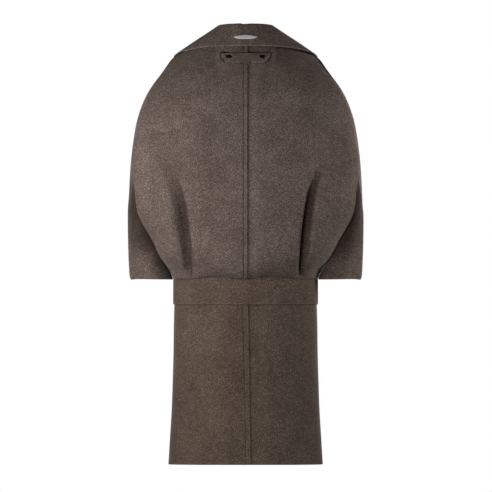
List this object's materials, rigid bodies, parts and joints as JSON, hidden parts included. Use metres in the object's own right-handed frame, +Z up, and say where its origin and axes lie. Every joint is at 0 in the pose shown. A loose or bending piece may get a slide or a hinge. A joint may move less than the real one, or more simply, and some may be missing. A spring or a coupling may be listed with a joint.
{
  "type": "cocoon coat",
  "caption": "Hollow cocoon coat in thick wool with a wide collar, bloused back, deep armholes, wide sleeves, hip band and straight skirt.",
  "frame": {"origin": "middle of the neck opening at the height of the nape seam, where the wearer's neck and shoulders hold the coat", "axes": "+Z up, +Y towards the wearer's back, +X towards the wearer's left"},
  "size_m": [0.5862, 0.3309, 1.1031],
  "materials": {
    "wool": "melange wool",
    "horn": "dark horn",
    "plate": "satin"
  },
  "bodies": {
    "root": {"back_left": "wool", "back_right": "wool", "sleeve_left": "wool", "sleeve_right": "wool", "front_left": "wool", "front_right": "wool", "collar": "wool", "neck_tab": "wool", "button_left": "horn", "button_right": "horn", "collar_plate": "plate", "band_back": "wool", "band_front_left": "wool", "band_front_right": "wool", "skirt_back_left": "wool", "skirt_back_right": "wool", "skirt_front_left": "wool", "skirt_front_right": "wool"}
  },
  "joints": []
}
